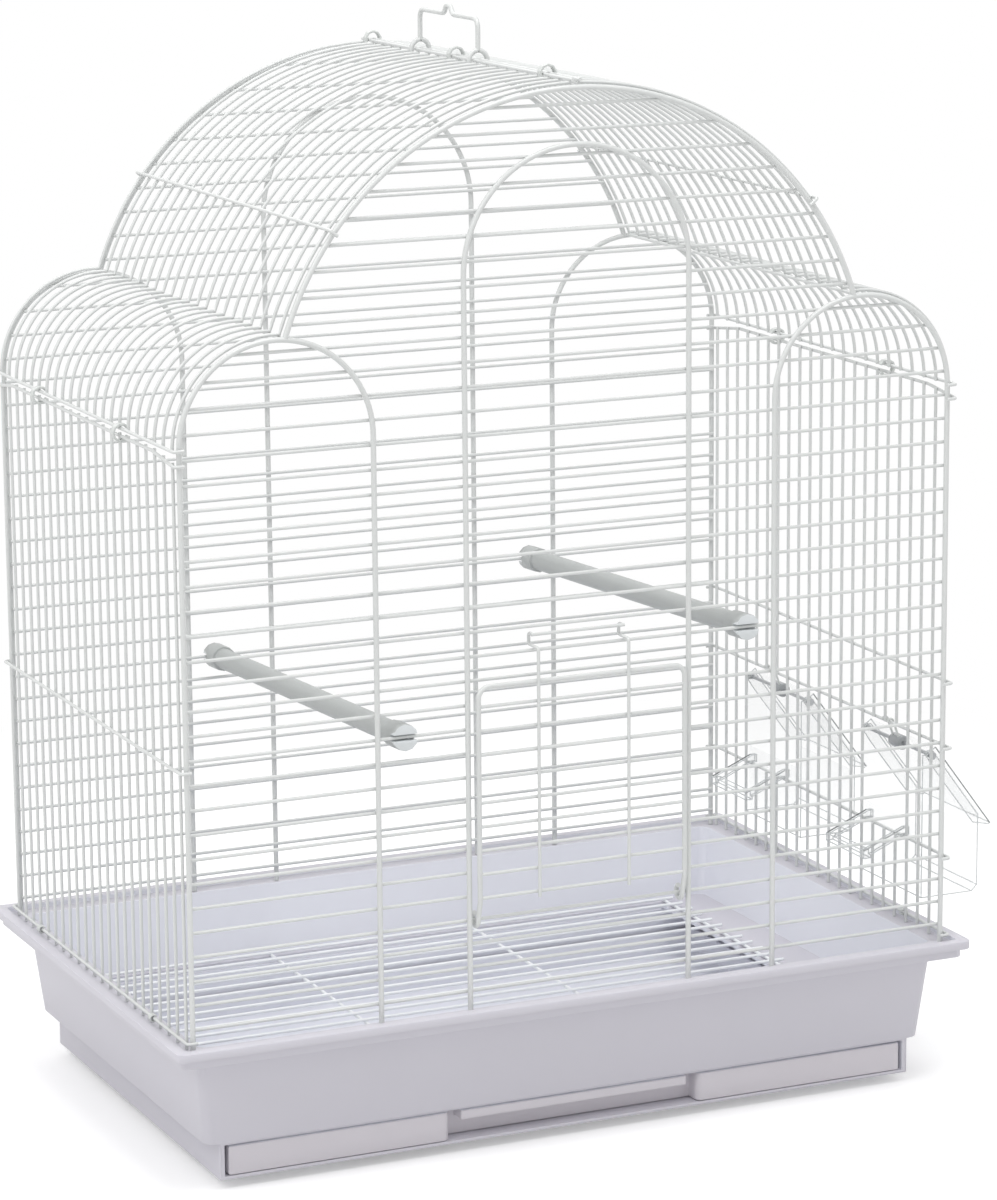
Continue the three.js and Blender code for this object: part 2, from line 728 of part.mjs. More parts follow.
function frontDoor() {
  const inX = (x, pairs) => pairs.map(([y, z]) => at(x, y, z));
  const loop = arcPairs([panelBarY, hingeZ], hingeLoopRadius, Math.PI, 2.4 * Math.PI, 7);
  const leg = [[doorY, hingeZ + hingeLoopRise], ...loop];
  const cornerX = doorHalfWidth - doorCornerRadius;
  const cornerZ = doorTopZ - doorCornerRadius;
  const bow = arcPairs([cornerX, cornerZ], doorCornerRadius, 0, Math.PI / 2, 3);
  const frame = [
    ...inX(doorHalfWidth, leg).reverse(),
    ...bow.map(([x, z]) => at(x, doorY, z)),
    ...bow.reverse().map(([x, z]) => at(-x, doorY, z)),
    ...inX(-doorHalfWidth, leg),
  ];
  const wires = [wire(frame, doorCorner)];
  for (let i = hingeBar + 1; i < doorTopBar; i++) {
    const z = barZ(i);
    wires.push(wire([at(-doorHalfWidth, doorY, z), at(doorHalfWidth, doorY, z)], barCorner));
  }
  const latchY = doorY - weldOffset(barCorner, barCorner);
  const hookZ = barZ(latchBar) + 2 * barCorner + fitGap;
  const innerY = panelBarY + latchReach;
  const fingerZ = hookZ + latchRise;
  const fingerY = innerY - latchReturn;
  const hook = [
    [latchY, barZ(hingeBar + 1) - latchTail],
    [latchY, hookZ - bendRadius],
    [latchY + bendRadius, hookZ],
    [innerY - bendRadius, hookZ],
    [innerY, hookZ + bendRadius],
    [innerY, fingerZ - bendRadius],
    [innerY - bendRadius, fingerZ],
    [fingerY, fingerZ],
  ];
  for (const x of [-latchHalfWidth, latchHalfWidth]) wires.push(wire(inX(x, hook), barCorner));
  const fingerHalf = latchHalfWidth + barCorner;
  wires.push(wire([at(-fingerHalf, fingerY, fingerZ), at(fingerHalf, fingerY, fingerZ)], barCorner));
  return joined(wires);
}

addPiece("front_door", geometryOf(frontDoor()), paintedWire);

// Carry handle: a bail with a small kink in its middle and an eye round both ridge wires at each end.
// It sits behind the cage's middle, with each eye against the roof wire in front of it.
const handleFrontWire = Math.floor(sideWireCount / 2) - 2;
const eyeY = (index) => sideWireY(index) + barCorner + fitGap + handleCorner;
const handleY = eyeY(handleFrontWire + handlePitchCount / 2);

function carryHandle() {
  const legY = (handlePitchCount * barPitch) / 2;
  const topZ = ridgeZ + handleHeight;
  const bail = [
    [legY, ridgeZ + handleEyeRadius],
    [legY, topZ - handleBend],
    [legY - handleBend, topZ],
    [kinkHalfLength, topZ],
    [kinkHalfLength / 2, topZ + kinkHeight],
  ];
  const half = bail.map(([y, z]) => at(0, y, z));
  const path = [...half, ...half.map((p) => at(0, -p.y, p.z)).reverse()];
  const ringGap = clipGapAngle / 5;
  const ring = arcPairs(
    [0, ridgeZ],
    handleEyeRadius,
    Math.PI / 2 + ringGap / 2,
    2.5 * Math.PI - ringGap / 2,
    12,
  );
  const eye = (y) =>
    wire(
      ring.map(([x, z]) => at(x, y, z)),
      handleCorner,
    );
  return joined([wire(path, handleCorner), eye(legY), eye(-legY)]);
}

addPiece("carry_handle", geometryOf(carryHandle()), paintedWire).position.y = handleY;

// Perches: round bars whose caps are slotted over a bar of the front panel and of the rear panel.
// Each one lies a bar lower at the rear, as in the photograph.
function perch() {
  const barInset = cageDepth / 2 + panelBarY;
  const barDistance = Math.hypot(cageDepth - 2 * barInset, barPitch);
  const half = barDistance / 2 - barCorner - fitGap;
  const slotHalf = barCorner + 1.5 * fitGap;
  const end = barDistance / 2 + perchTongue;
  const cap = (side) =>
    solidOf(
      rodAlongY(perchCapDiameter / 2, end - half + perchCapLength, 12).translate(
        0,
        (side * (end + half - perchCapLength)) / 2,
        0,
      ),
    );
  const slot = (side) => {
    const ends = [side * half, side * (end + cutOverrun)].sort((a, b) => a - b);
    return boxSolid([-perchCapDiameter, ends[0], -slotHalf], [perchCapDiameter, ends[1], slotHalf]);
  };
  return solidOf(rodAlongY(perchDiameter / 2, 2 * half - perchCapLength, 12))
    .add(cap(-1))
    .add(cap(1))
    .subtract(slot(-1))
    .subtract(slot(1));
}

for (const [name, side, bar] of [
  ["left_perch", -1, leftPerchBar],
  ["right_perch", 1, rightPerchBar],
]) {
  const piece = addPiece(name, geometryOf(perch()), perchPlastic);
  piece.position.set(side * perchX, 0, barZ(bar - 1 / 2));
  piece.rotation.x = -Math.atan2(barPitch, -2 * panelBarY);
}

// Feeders, built round Y = 0 and then moved to their openings
const along = [Math.cos(hoodAngle), Math.sin(hoodAngle)];
const outward = [-along[1], along[0]];
const fromPivot = (run, lift) => [
  pivotX + along[0] * run + outward[0] * lift,
  pivotZ + along[1] * run + outward[1] * lift,
];
const hoodUnder = pivotEar + hoodGap;
const cheekLift = pivotEar - fitGap;
const hoodHalfWidth = cupWidth / 2 + hoodGap + hoodWall;
const rodHole = rodRadius + fitGap;

function pivotBore(length) {
  return solidOf(rodAlongY(rodHole, length, 8).translate(pivotX, 0, pivotZ));
}

function feederCup() {
  const frontRun = (cupFront - fromPivot(0, cheekLift)[0]) / along[0];
  const outline = [
    [cupBack, cupBottomZ],
    [cupFront - cupChamfer, cupBottomZ],
    [cupFront, cupBottomZ + cupChamfer],
    fromPivot(frontRun, cheekLift),
    ...arcPairs([pivotX, pivotZ], cheekLift, hoodAngle + Math.PI / 2, Math.PI, 5),
    [cupBack, pivotZ],
  ];
  const highZ = pivotZ + pivotEar + cutOverrun;
  const hollow = sideProfile(
    [
      [cupBack + cupWall, cupBottomZ + cupWall],
      [cupFront - cupChamfer - cupWall / 2, cupBottomZ + cupWall],
      [cupFront - cupWall, cupBottomZ + cupChamfer + cupWall / 2],
      [cupFront - cupWall, highZ],
      [cupBack + cupWall, highZ],
    ],
    cupWidth - 2 * cupWall,
  );
  const innerHalf = cupWidth / 2 - cupWall;
  return solidOf(sideProfile(outline, cupWidth))
    .subtract(solidOf(hollow))
    .subtract(
      boxSolid([cupBack - cutOverrun, -innerHalf, cupBackZ], [cupBack + 2 * cupWall, innerHalf, highZ]),
    )
    .subtract(
      boxSolid([cupFront - 2 * cupWall, -innerHalf, cupFrontZ], [cupFront + cutOverrun, innerHalf, highZ]),
    )
    .subtract(pivotBore(cupWidth + 2 * cutOverrun));
}

function feederHood() {
  const top = hoodUnder + hoodWall;
  const cheek = [
    fromPivot(-hoodHeel, top),
    fromPivot(-hoodHeel, -pivotEar),
    fromPivot(hoodHeel, -pivotEar),
    fromPivot(hoodCheekDepth, top - hoodCheekDepth),
    fromPivot(hoodLength - hoodCheekDepth, top - hoodCheekDepth),
    fromPivot(hoodLength, hoodUnder),
    fromPivot(hoodLength, top),
  ];
  const under = [
    fromPivot(-hoodHeel - cutOverrun, hoodUnder),
    fromPivot(-hoodHeel - cutOverrun, -hoodCheekDepth),
    fromPivot(hoodLength + cutOverrun, -hoodCheekDepth),
    fromPivot(hoodLength + cutOverrun, hoodUnder),
  ];
  const notch = [
    fromPivot(-hoodHeel - cutOverrun, top + cutOverrun),
    fromPivot(-hoodHeel - cutOverrun, -hoodCheekDepth),
    fromPivot(hoodNotchDepth, -hoodCheekDepth),
    fromPivot(hoodNotchDepth, top + cutOverrun),
  ];
  return solidOf(sideProfile(cheek.reverse(), 2 * hoodHalfWidth))
    .subtract(solidOf(sideProfile(under.reverse(), 2 * (hoodHalfWidth - hoodWall))))
    .subtract(solidOf(sideProfile(notch.reverse(), hoodNotchWidth)))
    .subtract(pivotBore(2 * hoodHalfWidth + 2 * cutOverrun));
}

function feederRod() {
  const headY = hoodHalfWidth + fitGap + rodHeadLength / 2;
  const head = (side) =>
    solidOf(rodAlongY(rodHeadRadius, rodHeadLength, 10).translate(pivotX, side * headY, pivotZ));
  return solidOf(rodAlongY(rodRadius, 2 * headY, 8).translate(pivotX, 0, pivotZ))
    .add(head(-1))
    .add(head(1));
}

function feederClip() {
  const knob = solidOf(rodAlongY(knobRadius, knobLength, 12).translate(pivotX, 0, pivotZ));
  const turn = barCorner + prongCorner + fitGap + weldDepth;
  const hook = arcPairs([railX, upperRailZ], turn, 0, 0.9 * Math.PI, 4);
  const prong = (y) =>
    wire([at(pivotX - rodRadius, y, pivotZ + rodHole), ...hook.map(([x, z]) => at(x, y, z))], prongCorner);
  return knob.add(prong(-prongSpread)).add(prong(prongSpread)).subtract(pivotBore(knobLength + cutOverrun));
}

// Landing perch: two arms over the lower rail with a bar across their inner ends
function landingPerch() {
  const armZ = lowerRailZ + barCorner + fitGap;
  const outerX = cupBack - fitGap;
  const innerX = outerX - landingReach;
  const railInnerX = railX - barCorner - fitGap;
  const arm = sideProfile(
    [
      [outerX, armZ],
      [outerX, armZ + landingBarHeight],
      [railInnerX, armZ + landingBarHeight],
      [innerX, armZ + landingBarHeight - landingDrop],
      [innerX, armZ - landingDrop],
      [railInnerX, armZ],
    ].reverse(),
    landingThickness,
  );
  const arms = [-1, 1].map((side) => {
    const armY = side * (landingHalfWidth - landingThickness / 2);
    return solidOf(arm.clone().translate(0, armY, 0));
  });
  const bar = boxSolid(
    [innerX, -landingHalfWidth, armZ - landingDrop],
    [innerX + landingBarHeight, landingHalfWidth, armZ + landingBarHeight - landingDrop],
  );
  return joined([bar, ...arms]);
}

const feederCentre = (firstWire) => sideWireY(firstWire + feederPitchCount / 2);
for (const [end, firstWire] of [
  ["front", feederFirstWire],
  ["rear", sideWireCount - 1 - feederFirstWire - feederPitchCount],
]) {
  const feeder = new THREE.Group();
  feeder.position.y = feederCentre(firstWire);
  addPiece("feeder_cup_" + end, geometryOf(feederCup()), clearPlastic, feeder);
  addPiece("feeder_hood_" + end, geometryOf(feederHood()), clearPlastic, feeder);
  addPiece("feeder_rod_" + end, geometryOf(feederRod()), rodSteel, feeder);
  addPiece("feeder_clip_" + end, geometryOf(feederClip()), clipPlastic, feeder);
  addPiece("landing_perch_" + end, geometryOf(landingPerch()), clearPlastic, feeder);
  cage.add(feeder);
}

// The whole part stands centred on its overall width, from the rim to the edge of the hoods
const hoodEdgeX = fromPivot(hoodLength, hoodUnder + hoodWall)[0];
cage.position.x = (rimWidth / 2 - hoodEdgeX) / 2;
const part = new THREE.Group();
part.add(cage);

export default part;
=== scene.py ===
import json
import math

import bmesh
import bpy
from mathutils import Matrix, Vector


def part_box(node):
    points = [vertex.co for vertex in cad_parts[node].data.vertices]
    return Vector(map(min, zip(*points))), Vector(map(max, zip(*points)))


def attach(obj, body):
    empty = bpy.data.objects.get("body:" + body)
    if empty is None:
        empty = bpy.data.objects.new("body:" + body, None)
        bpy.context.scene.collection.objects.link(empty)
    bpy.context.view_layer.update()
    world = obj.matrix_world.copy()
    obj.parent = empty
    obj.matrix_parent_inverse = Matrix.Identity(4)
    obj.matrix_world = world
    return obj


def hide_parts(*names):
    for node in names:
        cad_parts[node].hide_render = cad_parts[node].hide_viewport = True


# Shell-top parakeet cage. Metres, +Z up, front towards -Y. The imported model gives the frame, and the
# wires are drawn again here as round, smoothly bent wire round the same centre lines.
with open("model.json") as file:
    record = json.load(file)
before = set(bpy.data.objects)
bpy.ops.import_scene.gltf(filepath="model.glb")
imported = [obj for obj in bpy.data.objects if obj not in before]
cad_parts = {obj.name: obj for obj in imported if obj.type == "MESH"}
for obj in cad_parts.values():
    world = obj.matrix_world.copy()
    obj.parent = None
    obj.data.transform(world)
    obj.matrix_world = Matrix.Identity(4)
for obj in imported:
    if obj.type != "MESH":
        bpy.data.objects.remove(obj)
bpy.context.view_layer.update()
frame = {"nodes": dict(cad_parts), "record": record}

front_low, front_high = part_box("front_panel")
MID_X = (front_low.x + front_high.x) / 2
subparts = [(entry["node"], entry["material_slot"]) for entry in frame["record"]["subparts"]]
body_of = {
    node: body for body, nodes in frame["record"]["behaviour"]["bodies"].items() for node in nodes
}

# Wires. Welded wires sink into each other by WELD, and loose pieces have FIT between them
BAR_R = 0.0010
FRAME_R = 0.0016
DOOR_R = 0.0015
HANDLE_R = 0.0015
WELD = 0.0002
FIT = 0.00035
BAR_IN = FRAME_R + BAR_R - WELD
RAIL_OUT = 2 * BAR_R - WELD

# Cage body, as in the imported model
WIDTH = 0.480
DEPTH = 0.302
PITCH = 0.01405
SIDE_WIRES = 22
STAND_OFF = 0.0025
LEDGE_Z = 0.088
LOW_BAR_RISE = 0.011
SPRING_RISE = 0.340
CENTRE_SPRING_RISE = 0.0845
LOWER_RAIL_RISE = 0.0417
UPPER_RAIL_RISE = 0.1096
MID_RAIL_RISE = 0.1495
FOOT_Z = LEDGE_Z + FIT
LOW_BAR_Z = LEDGE_Z + LOW_BAR_RISE
SPRING_Z = LEDGE_Z + SPRING_RISE
CENTRE_SPRING_Z = SPRING_Z + CENTRE_SPRING_RISE
LOWER_RAIL_Z = LOW_BAR_Z + LOWER_RAIL_RISE
UPPER_RAIL_Z = LOW_BAR_Z + UPPER_RAIL_RISE
MID_RAIL_Z = LOW_BAR_Z + MID_RAIL_RISE
SMALL_R = 0.05725
SMALL_X = WIDTH / 2 - SMALL_R
BIG_R = 0.186
CENTRE_HALF = 0.070
MID_ROOF_ANGLE = math.radians(37.5)
HOOK_LENGTH = 0.006
HOOK_BEND = 0.0022
RAIL_SPACING = 0.0044
ROOF_RAIL_LIFT = 0.0007
BOTTOM_RAIL_LIFT = 0.0045
FLARE_DROP = 0.004
FLARE_LENGTH = 0.030
FEEDER_FIRST_WIRE = 3
FEEDER_WIRE_SPAN = 4

# Front door
HINGE_BAR = 3
DOOR_TOP_BAR = 13
LATCH_BAR = 14
DOOR_HALF = 0.0653
DOOR_STAND_OFF = 0.0044
DOOR_TOP_DROP = 0.0026
DOOR_CORNER = 0.007
LOOP_R = 0.0038
LOOP_RISE = 0.012
LOOP_END = math.radians(432)
LATCH_HALF = 0.0285
LATCH_TAIL = 0.003
LATCH_REACH = 0.0045
LATCH_RISE = 0.0065
LATCH_RETURN = 0.0055
LATCH_BEND = 0.002

# Carry handle
HANDLE_SPAN = 6
HANDLE_HEIGHT = 0.024
HANDLE_BEND = 0.006
EYE_R = 0.0058
EYE_GAP = math.radians(5)
KINK_HEIGHT = 0.005
KINK_HALF = 0.006

# Floor grate
GRATE_LENGTH = 0.429
GRATE_SHIFT = -0.0115
GRATE_WIRES = 20
GRATE_CROSS = 4
GRATE_CROSS_PITCH = 0.1395
GRATE_OVERHANG = 0.0035

# Feeder rods with round heads, and the knobs that hang from the upper rail by two prongs
ROD_R = 0.0012
ROD_HEAD_R = 0.0024
ROD_HEAD_LENGTH = 0.0016
ROD_HEAD_EDGE = 0.0003
KNOB_R = 0.0045
KNOB_HALF = 0.006
KNOB_EDGE = 0.001
KNOB_EDGE_SHARE = 1 / 3
PRONG_R = 0.0007
PRONG_SPREAD = 0.0035
PRONG_TURN = BAR_R + PRONG_R + FIT
PRONG_ARC = math.radians(162)

# Mouldings. EDGE_ROUND goes by the start of a node's name, and the other pieces have SMALL_EDGE. The
# tray's front, blocks and pull lip together, is FASCIA_DEPTH deep
EDGE_ROUND = {"base_tub": 0.0012, "slide_out_tray": 0.0008, "foot_": 0.0008}
SMALL_EDGE = 0.0003
BLOCK_ROUND = 0.0045
BLOCK_HEIGHT = 0.012
TRAY_END = 0.05
FASCIA_DEPTH = 0.0125
INSIDE_MARGIN = 0.0016
CAP_LENGTH = 0.0122

# Painted lines along the edges of the clear pieces, for the sheen and shade that clear plastic shows at
# its edges. A slanted edge is at least this long across and upwards
EDGE_LINE_R = 0.00036
DARK_LINE_R = 0.00042
SLANT_ACROSS = 0.01
SLANT_UP = 0.005

# Limits for finding vertices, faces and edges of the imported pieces. A face whose normal rises by
# FACES_UP or more faces up
MERGE_DISTANCE = 1e-6
FRONT_TOLERANCE = 0.0005
SIDE_TOLERANCE = 0.0003
FLAT_ANGLE = math.radians(1)
ROUNDED_ANGLE = math.radians(35)
SHARP = math.radians(40)
FACES_UP = 0.9

# How finely bends and turned pieces are drawn
BEND_STEPS = 6
BEND_SHARE = 0.45
ARCH_STEPS = 48
BIG_ARCH_STEPS = 96
ROOF_SMALL_STEPS = 24
ROOF_BIG_STEPS = 48
LOOP_STEPS = 28
CORNER_STEPS = 10
EYE_STEPS = 40
PRONG_STEPS = 14
TURNED_STEPS = 32
BLOCK_STEPS = 6
BLOCK_PROFILE = 0.5
EDGE_STEPS = 2
WIRE_ROUNDNESS = 3
LINE_ROUNDNESS = 1

# Surface grain
SLOW_SCALE = 14
SLOW_DETAIL = 4
FINE_DETAIL = 3
LOW_GLOSS_SHARE = 0.85
HIGH_GLOSS_SHARE = 1.2
RELIEF_DEPTH = 0.0002

# Floor and room. The floor's own shade lasts to FADE_START from the middle, and is white at FADE_END
FLOOR_SIZE = 14
FLOOR_GREY = 0.8
FLOOR_ROUGH = 0.9
FLOOR_LIFT = 0.3
FADE_START = 0.45
FADE_END = 0.95
ROOM_LIGHT = 0.78
ROOM_SEEN = 1.0
LAMP_TARGET = Vector((0, 0, 0.3))

# The camera that took the photograph, fitted to the cage's own straight edges. Its place is measured
# from the middle of the wire body
CAMERA_AT = (-1.0496, -2.3547, 0.8533)
CAMERA_YAW = math.radians(24.393)
CAMERA_DOWN = math.radians(12.262)
CAMERA_ROLL = math.radians(-0.478)
CAMERA_FOCAL_SHARE = 4383.8 / 1200
SENSOR = 36


# Materials
def srgb(red, green, blue):
    """A colour given out of 255, as linear light."""
    shares = [channel / 255 for channel in (red, green, blue)]
    return [s / 12.92 if s <= 0.04045 else ((s + 0.055) / 1.055) ** 2.4 for s in shares]


def noise(nodes, scale, detail):
    """A noise texture node."""
    texture = nodes.new("ShaderNodeTexNoise")
    texture.inputs["Scale"].default_value = scale
    texture.inputs["Detail"].default_value = detail
    return texture


def material(name, colour, rough, grain, bump, tint=0.03, **shader):
    """A Principled material with a fine grain, a slow change of tone and a slightly uneven gloss."""
    made = bpy.data.materials.new(name)
    made.use_nodes = True
    nodes, links = made.node_tree.nodes, made.node_tree.links
    principled = nodes["Principled BSDF"]
    for socket, value in shader.items():
        principled.inputs[socket.replace("_", " ")].default_value = value
    place = nodes.new("ShaderNodeTexCoord")
    slow = noise(nodes, SLOW_SCALE, SLOW_DETAIL)
    fine = noise(nodes, grain, FINE_DETAIL)
    tone = nodes.new("ShaderNodeMix")
    tone.data_type = "RGBA"
    base = srgb(*colour)
    tone.inputs["A"].default_value = [channel * (1 - tint) for channel in base] + [1]
    tone.inputs["B"].default_value = [min(1, channel * (1 + tint)) for channel in base] + [1]
    gloss = nodes.new("ShaderNodeMapRange")
    gloss.inputs["To Min"].default_value = rough * LOW_GLOSS_SHARE
    gloss.inputs["To Max"].default_value = rough * HIGH_GLOSS_SHARE
    relief = nodes.new("ShaderNodeBump")
    relief.inputs["Strength"].default_value = bump
    relief.inputs["Distance"].default_value = RELIEF_DEPTH
    for texture in (slow, fine):
        links.new(place.outputs["Object"], texture.inputs["Vector"])
    links.new(slow.outputs["Fac"], tone.inputs["Factor"])
    links.new(tone.outputs["Result"], principled.inputs["Base Color"])
    links.new(fine.outputs["Fac"], gloss.inputs["Value"])
    links.new(gloss.outputs["Result"], principled.inputs["Roughness"])
    links.new(fine.outputs["Fac"], relief.inputs["Height"])
    links.new(relief.outputs["Normal"], principled.inputs["Normal"])
    return made


painted = material("painted_wire", (210, 212, 211), rough=0.32, grain=900, bump=0.15, Coat_Weight=0.3)
# The grate's wires have the same white coat as the other wires, painted lighter here: a painted
# highlight for the light from above on the floor grate
grate_coat_painted_light = material("grate_coat_painted_light", (240, 242, 244), rough=0.4, grain=900, bump=0.15, Coat_Weight=0.2)
plastic = material("base_plastic", (201, 199, 207), rough=0.42, grain=1600, bump=0.25, tint=0.02)
tray_plastic = material("tray_plastic", (203, 199, 205), rough=0.45, grain=1600, bump=0.25, tint=0.02)
# The feet's grey plastic, painted lighter than its own grey to lift the shade that falls under the base
foot_grey_painted_light = material("foot_grey_painted_light", (186, 189, 197), rough=0.7, grain=700, bump=0.4)
perch_grey = material("perch_grey", (175, 178, 177), rough=0.5, grain=500, bump=0.5, tint=0.05)
cap_grey = material("cap_grey", (208, 212, 214), rough=0.22, grain=500, bump=0.2, Coat_Weight=0.4)
# A paler copy of the tub's plastic: painted light on the inside of the tub and tray, where the overhead
# light falls
inside_painted_light = material(
    "inside_painted_light", (224, 225, 233), rough=0.42, grain=1600, bump=0.25, tint=0.015
)
clip_coat = material("clip_coat", (205, 208, 206), rough=0.35, grain=900, bump=0.2)
knob_grey = material("knob_grey", (150, 153, 155), rough=0.25, grain=900, bump=0.2, Coat_Weight=0.5)
rod_metal = material("rod_metal", (176, 178, 180), rough=0.3, grain=1200, bump=0.1, Metallic=0.8)
clear = material(
    "clear_plastic", (244, 247, 247), rough=0.06, grain=260, bump=0.05, tint=0.004, Alpha=0.1
)
# A pale painted line, the sheen along a clear piece's edges
painted_sheen_edge = material(
    "painted_sheen_edge", (216, 219, 220), rough=0.1, grain=260, bump=0.05, tint=0.02, Alpha=0.8
)
# A dark painted line, the shade where clear plastic is seen edge on
painted_shade_edge = material(
    "painted_shade_edge", (110, 113, 115), rough=0.15, grain=260, bump=0.05, tint=0.02, Alpha=0.9
)


# Wire paths
def arc(centre, radius, start, end, steps):
    """Points of an arc in the plane of two axes, as pairs."""
    turns = [start + (end - start) * i / steps for i in range(steps + 1)]
    return [(centre[0] + radius * math.cos(t), centre[1] + radius * math.sin(t)) for t in turns]


def at(x, y, z):
    """A place whose x is measured from the middle of the wire body."""
    return Vector((MID_X + x, y, z))


def rounded(points, radius):
    """The same path with each corner bent round that radius."""
    path = [points[0]]
    for before, corner, after in zip(points, points[1:], points[2:]):
        back, ahead = before - corner, after - corner
        turn = math.pi - back.angle(ahead)
        most = BEND_SHARE * min(back.length, ahead.length)
        reach = min(radius * math.tan(turn / 2), most)
        start = corner + back.normalized() * reach
        end = corner + ahead.normalized() * reach
        for i in range(BEND_STEPS + 1):
            t = i / BEND_STEPS
            path.append(start * (1 - t) ** 2 + corner * 2 * t * (1 - t) + end * t * t)
    return path + [points[-1]]


def round_curve(name, runs, look, roundness, capped):
    """Round wires along paths. A run is a radius and its path."""
    curve = bpy.data.curves.new(name, "CURVE")
    curve.dimensions = "3D"
    curve.bevel_depth = 1
    curve.bevel_resolution = roundness
    curve.use_fill_caps = capped
    for radius, path in runs:
        spline = curve.splines.new("POLY")
        spline.points.add(len(path) - 1)
        for point, place in zip(spline.points, path):
            point.co = (*place, 1)
            point.radius = radius
    curve.materials.append(look)
    return curve


def add_piece(name, shape, body, place=(0, 0, 0)):
    """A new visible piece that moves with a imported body."""
    piece = bpy.data.objects.new(name, shape)
    piece.location = place
    bpy.context.scene.collection.objects.link(piece)
    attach(piece, body)
    return piece


def wires(name, runs, node, body, coat=painted):
    """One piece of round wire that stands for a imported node."""
    piece = add_piece(name, round_curve(name, runs, coat, WIRE_ROUNDNESS, True), body)
    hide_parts(node)


# Front and rear panels
def valley(big, small):
    """Where a circle round the cage's middle meets one round the small arch's middle."""
    x = (big**2 - small**2 + SMALL_X**2) / (2 * SMALL_X)
    return x, math.sqrt(big**2 - x**2)


VALLEY_X, VALLEY_RISE = valley(BIG_R, SMALL_R)
VALLEY_ANGLE = math.atan2(VALLEY_RISE, VALLEY_X)


def bar_z(index):
    """The height of a bar of the front or rear panel, counted from the lowest."""
    return LOW_BAR_Z + index * PITCH


def half_at(z):
    """Half the panel's width at a height."""
    rise = z - SPRING_Z
    if rise <= 0:
        return WIDTH / 2
    if rise < VALLEY_RISE:
        return SMALL_X + math.sqrt(SMALL_R**2 - rise**2)
    return math.sqrt(BIG_R**2 - rise**2)


def arch_frame(x, radius, spring, y):
    """A frame wire: up from the ledge, round an arch and down again."""
    bow = arc((x, spring), radius, 0, math.pi, ARCH_STEPS)
    line = [(x + radius, FOOT_Z)] + bow + [(x - radius, FOOT_Z)]
    return (FRAME_R, [at(px, y, pz) for px, pz in line])


def panel_runs(side, doorway):
    """side is -1 for the front panel and 1 for the rear one."""
    y = side * DEPTH / 2
    big = arc((0, SPRING_Z), BIG_R, VALLEY_ANGLE, math.pi - VALLEY_ANGLE, BIG_ARCH_STEPS)
    runs = [
        arch_frame(-SMALL_X, SMALL_R, SPRING_Z, y),
        arch_frame(SMALL_X, SMALL_R, SPRING_Z, y),
        arch_frame(0, CENTRE_HALF, CENTRE_SPRING_Z, y),
        (FRAME_R, [at(px, y, pz) for px, pz in big]),
    ]
    bar_y = y - side * BAR_IN
    index = 0
    while bar_z(index) < SPRING_Z + BIG_R - FRAME_R:
        z = bar_z(index)
        half = half_at(z)
        spans = [(-half, half)]
        if doorway and HINGE_BAR < index < DOOR_TOP_BAR:
            spans = [(-half, -CENTRE_HALF), (CENTRE_HALF, half)]
        runs += [(BAR_R, [at(a, bar_y, z), at(b, bar_y, z)]) for a, b in spans]
        index += 1
    return runs


wires("front_wirework", panel_runs(-1, True), "front_panel", "cage")
wires("rear_wirework", panel_runs(1, False), "rear_panel", "cage")

# Side panels and roof halves
SIDE_X = WIDTH / 2 + STAND_OFF
RAIL_X = SIDE_X + RAIL_OUT
HOOK_Y = DEPTH / 2 + FRAME_R + BAR_R + 2 * FIT
TOP_RAIL_Z = SPRING_Z + ROOF_RAIL_LIFT - RAIL_SPACING


def wire_y(index):
    """The depth at which a side or roof wire stands, counted from the front."""
    return (index - (SIDE_WIRES - 1) / 2) * PITCH


def hooked_rail(x, z, inward, flare=0):
    """A rail along Y whose ends hook round the corner wires, in the direction inward."""

    def end(y, reach):
        return at(x + inward[0] * reach, y, z + inward[1] * reach - flare)

    points = [end(-HOOK_Y, HOOK_LENGTH), end(-HOOK_Y, 0)]
    if flare:
        points += [at(x, side * (DEPTH / 2 - FLARE_LENGTH), z) for side in (-1, 1)]
    points += [end(HOOK_Y, 0), end(HOOK_Y, HOOK_LENGTH)]
    return (BAR_R, rounded(points, HOOK_BEND))


def top_rail_z(y):
    """The height of the side's top rail, whose ends flare down."""
    past = max(0, abs(y) - (DEPTH / 2 - FLARE_LENGTH))
    return TOP_RAIL_Z - FLARE_DROP * past / FLARE_LENGTH


def in_feeder(index):
    """Whether a side wire crosses one of the two feeder openings."""
    firsts = (FEEDER_FIRST_WIRE, SIDE_WIRES - 1 - FEEDER_FIRST_WIRE - FEEDER_WIRE_SPAN)
    return any(first < index < first + FEEDER_WIRE_SPAN for first in firsts)


def side_runs(side, feeders):
    """side is -1 for the left panel and 1 for the right one, which has the feeders."""
    inward = (-side, 0)
    rails = [FOOT_Z + BOTTOM_RAIL_LIFT, MID_RAIL_Z] + [LOWER_RAIL_Z, UPPER_RAIL_Z] * feeders
    runs = [hooked_rail(side * RAIL_X, z, inward) for z in rails]
    runs.append(hooked_rail(side * RAIL_X, TOP_RAIL_Z, inward, FLARE_DROP))
    for index in range(SIDE_WIRES):
        y = wire_y(index)
        top = top_rail_z(y) + BAR_R
        spans = [(FOOT_Z, top)]
        if feeders and in_feeder(index):
            spans = [(FOOT_Z, LOWER_RAIL_Z), (UPPER_RAIL_Z, top)]
        runs += [(BAR_R, [at(side * SIDE_X, y, a), at(side * SIDE_X, y, b)]) for a, b in spans]
    return runs


wires("left_wirework", side_runs(-1, False), "left_side_panel", "cage")
wires("right_wirework", side_runs(1, True), "right_side_panel", "cage")

ROOF_SMALL_R = SMALL_R + STAND_OFF
ROOF_BIG_R = BIG_R + STAND_OFF
RIDGE_X = RAIL_SPACING / 2
RIDGE_Z = SPRING_Z + ROOF_BIG_R + RAIL_OUT


